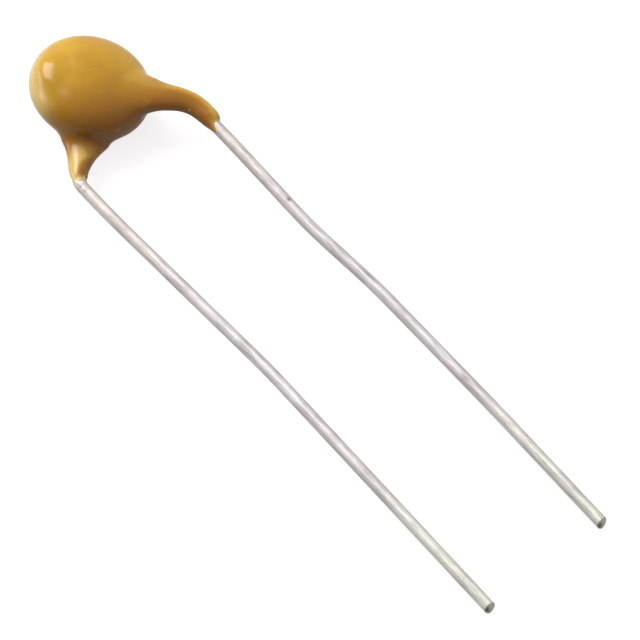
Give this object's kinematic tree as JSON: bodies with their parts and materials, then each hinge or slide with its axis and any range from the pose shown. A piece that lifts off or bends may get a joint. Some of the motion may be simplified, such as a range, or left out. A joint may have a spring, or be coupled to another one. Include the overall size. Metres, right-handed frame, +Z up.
{
  "type": "ceramic disc capacitor",
  "caption": "Small ceramic disc capacitor with a dipped ochre resin coat and two long round wire leads, lying flat.",
  "frame": {"origin": "on the table, under the middle of the whole part's box", "axes": "+Y along the leads towards the disc, +X across the leads towards the front lead, +Z up from the table"},
  "size_m": [0.0072, 0.0328, 0.0033],
  "materials": {
    "resin_coat": "dipped ochre resin, smooth and slightly translucent at its thin edges",
    "tinned_wire": "tinned copper wire, soft satin shine",
    "fired_ceramic": "matt fired ceramic",
    "fired_silver": "matt fired silver layer",
    "solder": "smooth grey solder"
  },
  "bodies": {
    "root": {"coating": "resin_coat", "front_lead": "tinned_wire", "rear_lead": "tinned_wire", "dielectric_disc": "fired_ceramic", "front_electrode": "fired_silver", "rear_electrode": "fired_silver", "front_solder": "solder", "rear_solder": "solder"}
  },
  "joints": []
}
